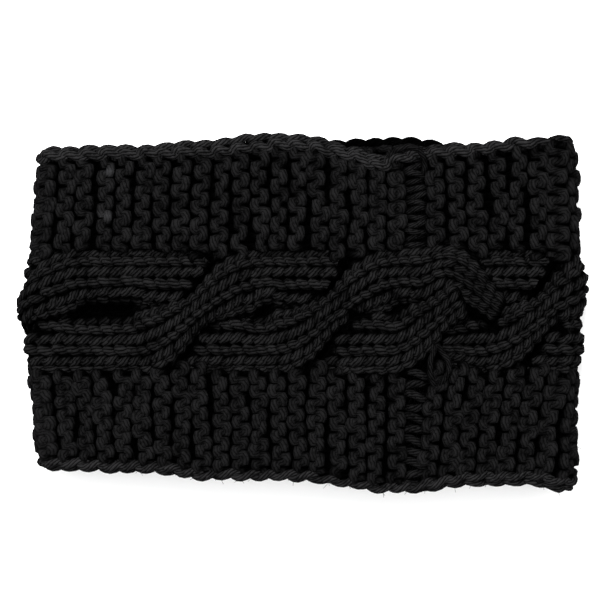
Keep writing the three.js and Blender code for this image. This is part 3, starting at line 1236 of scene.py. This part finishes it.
@dataclass
class CableStrand(YarnPiece):
    """One strand of the rope cable: plain knitting that runs along the strand."""

    plan: StrandPlan
    other: StrandPlan
    slot: ClassVar[str] = "cable_yarn"
    stitches: int = 3
    row_pitch: float = 4.2
    yarn_radius: float = 1.72
    form: LoopForm = LoopForm(height=3.3, bulge=1.35, depth=1.35, shingle=0.75, swell=0.12)
    crown_radius: float = 13.0
    crown_gain: float = 9.3
    stitch_width: float = 7.4
    squeeze: float = 0.25
    waist: float = 0.45
    dip_depth: float = 4.2
    dip_reach: float = 3.5
    deepest: float = 6.0
    outer_share: float = 0.5
    inner_gain: float = 0.8
    roll_from: float = 0.52
    roll_over: float = 0.35
    painted_shade_base: float = 1.1
    close: float = 2.4
    fold_bulge: float = 2.2
    core_depth: float = 2.0
    core_radius: float = 2.1
    narrow_from: float = 34.0
    end_narrow: float = 0.0
    end_shift: float = 0.0
    # Painted shade on the ribs that roll into the eye.
    eye_painted_shade: float = 2.2
    cut_share: float = 0.9
    square: float = 0.5
    tuck: float = 0.35
    uneven: Unevenness = Unevenness(across=0.04, height=0.06, along=0.2, depth=0.12, thick=0.04)
    tucked_depth: float = 1.5
    tucked_fade: float = 0.6
    route_step: float = 0.25
    core_inset: float = 2.0
    core_step: float = 2.0
    narrow_fade: float = 14.0
    shift_fade: float = 22.0
    level_end: float = 18.0
    level_fade: float = 8.0
    close_from: float = 0.2
    close_fade: float = 0.8
    thinnest: float = 0.4
    top_from: float = 0.55
    shortest_run: int = 3

    @cached_property
    def moves(self) -> list[Move]:
        """The strand's moves from side to side."""
        return self.shape.moves(self.plan)

    @cached_property
    def route(self) -> tuple[Array, Array]:
        """Measures the strand along its middle.

        Returns:
            Places along the loop, and how much strand there is up to each.
        """
        start = self.plan.start * self.shape.half_width
        end = self.plan.end * self.shape.half_width
        place = np.linspace(start, end, round((end - start) / self.route_step) + 1)
        slope = self.shape.strand_at(self.moves, place, 0.0).slope
        step = np.diff(place) * np.hypot(1, slope[1:])
        return place, np.concatenate([[0.0], np.cumsum(step)])

    def lines(self) -> list[YarnLine]:
        """Follows the yarn of every row.

        Returns:
            One line to a row, across the strand, and the lines behind them.
        """
        uneven = self.uneven
        random = np.random.default_rng(self.seed)
        place_table, run_table = self.route
        total = run_table[-1]
        rows = round(total / self.row_pitch)
        found = []
        for number in range(rows):
            run = (number + 0.5) * total / rows
            angle = self.form.angles(-self.tuck, self.stitches + self.tuck)
            at = angle / (2 * math.pi)
            knots = np.arange(-1, self.stitches + 2, 0.5)
            drift = random.normal(0, 1, (4, len(knots)))
            wander = [np.interp(at, knots, values) for values in drift]
            stitch = self.form.across(angle) - self.stitches / 2 + uneven.across * wander[0]
            height = self.form.height * (1 + uneven.height * wander[1])
            depth = self.form.depth * (1 + uneven.depth * wander[2])
            at_run = run - height * np.cos(angle) + uneven.along * wander[3]
            place = np.interp(np.clip(at_run, 0, total), run_table, place_table)
            lift = depth * self.form.lift(angle, Stitch.LEGS_IN_FRONT)
            lift = lift + self.form.shingle * np.cos(angle)
            hidden = np.minimum(at + self.tuck, self.stitches + self.tuck - at)
            tucked = self.tucked_depth * (1 - smooth(hidden / self.tucked_fade))
            thick = 1 + uneven.thick * wander[0] + self.form.swell * np.clip(lift, 0, None)
            found += self.follow(place, stitch, lift, tucked, self.yarn_radius * thick)
        return found + self.core_lines()

    def core_lines(self) -> list[YarnLine]:
        """Follows the yarn behind the ribs, which closes the fabric.

        Returns:
            Lines along the strand, one behind each rib.
        """
        start = self.plan.start * self.shape.half_width
        end = self.plan.end * self.shape.half_width
        count = round((end - start) / self.core_step)
        place = np.linspace(start + self.core_inset, end - self.core_inset, count)
        plain = np.zeros_like(place)
        found = []
        for rib in range(2 * self.stitches):
            stitch = plain + (rib + 0.5) / 2 - self.stitches / 2
            found += self.follow(place, stitch, plain - self.core_depth, plain, plain + self.core_radius)
        return found

    def follow(
        self,
        place: Array,
        stitch: Array,
        lift: Array,
        tucked: Array,
        thick: Array,
    ) -> list[YarnLine]:
        """Lays a length of yarn on the strand.

        Args:
            place: Places along the loop.
            stitch: Places across the strand, in stitches from its middle.
            lift: Heights out of the knitting's middle.
            tucked: How far the yarn lies below that at its ends.
            thick: The yarn's radius.

        Returns:
            The parts of it that aren't out of sight under the other strand.
        """
        shape = self.shape
        rib = stitch * self.stitch_width
        across, slope, level, sunk = shape.strand_at(self.moves, place, rib)
        level = np.maximum(level, self.fold_bulge * shape.fold(place))
        share = np.clip(across / shape.lane, -1, 1)
        crossing = 1 - share**2
        to_end = self.plan.end * shape.half_width - place
        near_end = smooth((self.narrow_from - to_end) / self.narrow_fade)
        full = shape.fullness(self.plan, place) * (1 - self.squeeze * crossing)
        full = full * (1 - self.end_narrow * near_end)
        across = across + self.end_shift * near_end * smooth(to_end / self.shift_fade)
        bend = self.crown_radius - self.crown_gain * crossing
        turn = rib * full / bend
        side = (bend + lift) * np.sin(turn)
        crown = (bend + lift) * np.cos(turn) - bend
        inner = smooth((-turn * share - self.roll_from) / self.roll_over) * shape.eye(place)
        crown = np.where(crown < 0, crown * (self.outer_share + self.inner_gain * inner), crown)
        norm = np.hypot(1, slope)
        shut = smooth((self.close_from - turn * share) / self.close_fade)
        beside = self.close * (1 - shape.eye(place)) * shut
        pulled = shape.pulled(self.moves, place - shape.rib_delay * rib)
        along = place + pulled - side * self.square * slope
        across = across - beside * share + side * (norm - self.square * slope**2 / norm)
        top = shape.strand_thick / 2 - self.yarn_radius - self.form.depth
        before_end = smooth((to_end - self.level_end) / self.level_fade)
        dip = np.maximum(self.dip(along, across) * before_end, sunk)
        out = np.maximum(level + top + crown - tucked - dip, -self.deepest)
        radius = thick * (self.thinnest + (1 - self.thinnest) * full)
        # Painted shade: darker where the yarn lies deep, sinks beside or under the other strand, or rolls
        # into the eye.
        painted_shade_height = top + lift - tucked - dip - self.eye_painted_shade * inner + self.painted_shade_base
        row = shape.yarn(along, across, out, radius, painted_shade_height)
        return self.visible_runs(row, sunk < self.cut_share * shape.sink_depth)

    def visible_runs(self, row: YarnLine, shown: Array) -> list[YarnLine]:
        """Cuts a row where it lies out of sight under the other strand.

        Args:
            row: The whole row.
            shown: Whether each of its points is in sight.

        Returns:
            What is left of the row.
        """
        marks = np.flatnonzero(np.diff(np.concatenate([[0], shown.astype(int), [0]])))
        runs = [slice(a, b) for a, b in zip(marks[::2], marks[1::2]) if b - a > self.shortest_run]
        return [YarnLine(*(values[run] for values in row)) for run in runs]

    def dip(self, along: Array, across: Array) -> Array:
        """Gives how far the strand sinks beside and below the other strand where that is on top.

        Args:
            along: Places along the loop.
            across: Distances from the middle of the cable.

        Returns:
            Depths in millimetres.
        """
        shape = self.shape
        deepest = np.zeros_like(across)
        for turn in (0, -1, 1):
            place = along + turn * shape.length
            share = place / shape.half_width
            inside = (share > self.other.start) & (share < self.other.end)
            middle, slope, level, _ = shape.strand_at(shape.moves(self.other), place, 0.0)
            crossing = 1 - np.clip(middle / shape.lane, -1, 1) ** 2
            half = shape.strand_width / 2 * (1 - self.waist * crossing) * np.hypot(1, slope)
            away = np.abs(across - middle) - half
            on_top = level / shape.strand_climb - self.top_from
            on_top = smooth(on_top / (1 - self.top_from)) * inside
            deepest = np.maximum(deepest, on_top * smooth(1 - away / self.dip_reach))
        return self.dip_depth * deepest


@dataclass
class EdgeChain(YarnPiece):
    """The chained edge: one long link to each garter ridge, wrapped round the edge."""

    side: Side
    slot: ClassVar[str] = "edge_yarn"
    yarn_radius: float = 1.75
    form: LoopForm = LoopForm(height=5.9, bulge=1.5, depth=0.9, shingle=0.5, samples=20)
    wrap_radius: float = 1.9
    wrap_turn: float = 2.0
    tilt_sway: float = 0.12
    uneven: Unevenness = Unevenness(across=0.15, height=0.05, along=0.25)
    roll_in: float = 1.8
    roll_from: float = 0.3
    roll_painted_shade: float = 1.1
    axis_inset: float = 0.4
    core_inset: float = 0.8
    core_points: int = 220
    core_radius: float = 1.5
    painted_shade_height: float = 2.3

    def lines(self) -> list[YarnLine]:
        """Follows the yarn of every link.

        Returns:
            One line to a link, out of the fabric and back into it.
        """
        shape = self.shape
        random = np.random.default_rng(self.seed)
        pitch = 2 * shape.row
        first = math.floor(shape.seam_end / pitch)
        last = math.ceil((shape.seam_start + shape.length) / pitch)
        found = []
        for number in range(first, last + 1):
            angle = self.form.angles(0.0, 1.0)
            wobble = random.normal(0, 1, 4)
            height = self.form.height * (1 + self.uneven.height * wobble[0])
            along = number * pitch - height * np.cos(angle) + self.uneven.along * wobble[1]
            tilt = float(shape.round_table(CHAIN_TURNS, self.side, number * pitch))
            tilt = tilt + self.tilt_sway * wobble[3]
            turn = tilt + (0.5 - self.form.across(angle)) * 2 * self.wrap_turn
            lift = self.wrap_radius + self.form.depth * self.form.lift(angle, Stitch.LEGS_IN_FRONT)
            lift = lift + self.form.shingle * np.cos(angle)
            edge = shape.border_edge(along, self.side) + shape.clearance
            rolled = float(smooth(np.array(-tilt - self.roll_from)))
            axis = edge + shape.edge_width / 2 - self.axis_inset + self.uneven.across * wobble[2]
            axis = axis - self.roll_in * rolled
            across = self.side.value * (axis + lift * np.cos(turn))
            # Painted shade: links rolled under the edge are painted darker.
            painted_shade_height = self.painted_shade_height - self.roll_painted_shade * rolled
            found.append(shape.yarn(along, across, lift * np.sin(turn), self.yarn_radius, painted_shade_height))
        return [*found, self.core_line()]

    def core_line(self) -> YarnLine:
        """Follows the yarn inside the links, which closes the edge.

        Returns:
            One line along the whole edge.
        """
        shape = self.shape
        along = np.linspace(shape.seam_end, shape.seam_start + shape.length, self.core_points)
        edge = shape.border_edge(along, self.side) + shape.clearance
        across = self.side.value * (edge + shape.edge_width / 2 - self.core_inset)
        # The core lies in the fabric's middle, in full painted shade.
        return shape.yarn(along, across, 0.0, self.core_radius, 0.0)


@dataclass
class BorderSeam(YarnPiece):
    """The sewn join of a border's two ends: a ladder of short rungs, with its loose loops."""

    side: Side
    plans: list[StrandPlan]
    slot: ClassVar[str] = "seam_yarn"
    rung_pitch: float = 2.7
    yarn_radius: float = 1.2
    slant: float = 0.9
    rung_lift: float = 1.7
    overreach: float = 1.2
    painted_shade_base: float = 0.9
    samples: int = 12
    bow: float = 0.5
    bow_turn: float = 3.2
    arch: float = 0.7
    uneven: Unevenness = Unevenness(across=0.6, height=0.3, along=0.4)
    loose: tuple[tuple[LoopPoint, ...], ...] = ()
    loose_radius: float = 1.2
    loose_ease: float = 0.55
    loose_samples: int = 6
    loose_painted_shade: float = 2.1
    pixel: float = 0.3913
    photo_middle: tuple[float, float] = (-1.03, 4.3)

    def loose_lines(self) -> list[YarnLine]:
        """Follows the yarn of the loose loops.

        Returns:
            One line to a loop, smoothed through its points.
        """
        found = []
        for loop in self.loose:
            keys = np.arange(len(loop), dtype=float)
            at = np.linspace(0, len(loop) - 1, self.loose_samples * len(loop))
            near = np.exp(-(((at[:, None] - keys) / self.loose_ease) ** 2))
            near = near / near.sum(axis=1, keepdims=True)
            x, y, out = (near @ np.array(values, float) for values in zip(*loop))
            along = (x - 300) * self.pixel + self.photo_middle[0]
            across = (300 - y) * self.pixel + self.photo_middle[1]
            # Painted shade: a loose loop is shaded the same all along.
            found.append(self.shape.yarn(along, across, out, self.loose_radius, self.loose_painted_shade))
        return found

    def lines(self) -> list[YarnLine]:
        """Follows the yarn of every rung.

        Returns:
            One line to a rung, from one side of the seam to the other.
        """
        shape = self.shape
        random = np.random.default_rng(self.seed)
        middle = (shape.seam_start + shape.seam_end) / 2
        inner = float(shape.cable_reach(self.plans, np.array([middle]), self.side)[0])
        outer = float(shape.border_edge(middle, self.side)) + shape.edge_width
        rungs = round((outer - inner) / self.rung_pitch)
        found = self.loose_lines()
        for number in range(rungs):
            wobble = random.normal(0, 1, 4)
            t = np.linspace(-1, 1, self.samples + 1)
            half = shape.seam_width / 2 + self.overreach
            along = middle + half * t + self.uneven.along * wobble[0]
            at = inner + (number + 0.5) * (outer - inner) / rungs
            lean = self.slant * (1 if number % 2 else -1) + self.uneven.across * wobble[2]
            across = at + self.bow * np.sin(t * self.bow_turn + wobble[1]) + lean * t
            out = self.rung_lift * np.cos(t * math.pi * self.arch) + self.uneven.height * wobble[3]
            across = self.side.value * across
            # The rung's lift also sets its painted shade.
            found.append(shape.yarn(along, across, out, self.yarn_radius, out + self.painted_shade_base))
        return found


@dataclass
class Studio:
    """A pale floor, soft light and the camera straight above the band."""

    shape: BandShape
    photo_centre: tuple[float, float] = (-0.77, 4.85)
    view_width: float = 234.8
    lens: float = 85.0
    sensor: float = 36.0
    clip_start: float = 0.01
    floor_size: float = 6.0
    floor_colour: tuple[float, float, float, float] = (0.92, 0.92, 0.92, 1.0)
    floor_roughness: float = 0.9
    sky: float = 1.6
    key_place: tuple[float, float, float] = (-0.15, 0.45, 0.7)
    key_size: float = 0.35
    key_power: float = 15.0

    def camera(self) -> None:
        """Sets the camera at the photo's angle and distance."""
        data = bpy.data.cameras.new("camera")
        data.lens = self.lens
        data.sensor_width = self.sensor
        data.clip_start = self.clip_start
        camera = bpy.data.objects.new("camera", data)
        distance = self.view_width * self.lens / self.sensor
        height = (self.shape.floor + distance) * MM
        camera.location = (self.photo_centre[0] * MM, self.photo_centre[1] * MM, height)
        bpy.context.scene.collection.objects.link(camera)
        bpy.context.scene.camera = camera

    def floor(self) -> None:
        """Lays the floor."""
        half = self.floor_size / 2
        corners = [(-half, -half, 0), (half, -half, 0), (half, half, 0), (-half, half, 0)]
        mesh = bpy.data.meshes.new("floor")
        mesh.from_pydata(corners, [], [(0, 1, 2, 3)])
        material = bpy.data.materials.new("floor_paper")
        material.use_nodes = True
        shader = material.node_tree.nodes["Principled BSDF"]
        shader.inputs["Base Color"].default_value = self.floor_colour
        shader.inputs["Roughness"].default_value = self.floor_roughness
        mesh.materials.append(material)
        floor = bpy.data.objects.new("floor", mesh)
        bpy.context.scene.collection.objects.link(floor)

    def lamp(self, name: str, place: tuple[float, float, float], size: float, power: float) -> None:
        """Hangs one soft lamp that points at the band.

        Args:
            name: The lamp's name.
            place: Its place in metres.
            size: The side of its square in metres.
            power: Its power in watts.
        """
        data = bpy.data.lights.new(name, "AREA")
        data.size = size
        data.energy = power
        lamp = bpy.data.objects.new(name, data)
        lamp.location = place
        x, y, z = place
        lamp.rotation_euler = (math.atan2(math.hypot(x, y), z), 0, math.atan2(x, -y))
        bpy.context.scene.collection.objects.link(lamp)

    def light(self) -> None:
        """Lights the band softly from all round, a little more from the upper left."""
        world = bpy.data.worlds.new("studio")
        world.use_nodes = True
        back = world.node_tree.nodes["Background"]
        back.inputs["Color"].default_value = (1, 1, 1, 1)
        back.inputs["Strength"].default_value = self.sky
        bpy.context.scene.world = world
        self.lamp("key", self.key_place, self.key_size, self.key_power)
        bpy.context.scene.view_settings.view_transform = "Standard"

    def build(self) -> None:
        """Builds the whole stage."""
        self.camera()
        self.floor()
        self.light()


STRAND_A = StrandPlan(start=0.495, end=4.55, last_at=4.49, last_height=5.4, first_side=1)
STRAND_B = StrandPlan(start=0.54, end=4.685, last_at=4.69, last_height=3.9, first_side=-1)


def main() -> None:
    """Builds the headband and its stage."""
    logging.basicConfig(level=logging.INFO, format="%(message)s")
    shape = BandShape()
    plans = [STRAND_A, STRAND_B]
    winder = Winder()
    Studio(shape).build()

    garter = PliedWool(
        "garter_wool",
        light=(0.0065, 0.0064, 0.0066),
        dark_below=0.9,
        light_above=4.4,
        ply_power=0.38,
    ).build()
    upper, lower = Side.UPPER, Side.LOWER
    GarterBorder(
        "knit_upper_border", "upper_border", shape, 11, upper, 5.3, plans, pale_spots=PALE_SPOTS
    ).build(winder, garter)
    GarterBorder("knit_lower_border", "lower_border", shape, 12, lower, 6.1, plans).build(winder, garter)

    cable = PliedWool("cable_wool", light=(0.0083, 0.0082, 0.0084), dark_below=1.7).build()
    CableStrand("knit_strand_a", "cable_strand_a", shape, 21, STRAND_A, STRAND_B).build(winder, cable)
    CableStrand(
        "knit_strand_b", "cable_strand_b", shape, 22, STRAND_B, STRAND_A, end_narrow=0.3, end_shift=4.0
    ).build(winder, cable)

    # The chains are the same wool, given a lighter colour: painted light for the light that the rolled edges
    # catch.
    edge = PliedWool("edge_wool_painted_light", light=(0.013, 0.0128, 0.0132)).build()
    EdgeChain("chain_top", "top_edge_chain", shape, 31, upper).build(winder, edge)
    EdgeChain(
        "chain_bottom", "bottom_edge_chain", shape, 32, lower, yarn_radius=1.55, wrap_radius=1.5
    ).build(winder, edge)

    seam = PliedWool("seam_wool").build()
    BorderSeam("sewn_upper_seam", "upper_seam", shape, 41, upper, plans, loose=(CURL,)).build(winder, seam)
    BorderSeam(
        "sewn_lower_seam",
        "lower_seam",
        shape,
        42,
        lower,
        plans,
        rung_pitch=4.2,
        yarn_radius=1.6,
        slant=-1.2,
        loose=(LOOSE_LEFT, LOOSE_RIGHT),
    ).build(winder, seam)


if __name__ == "__main__":
    main()
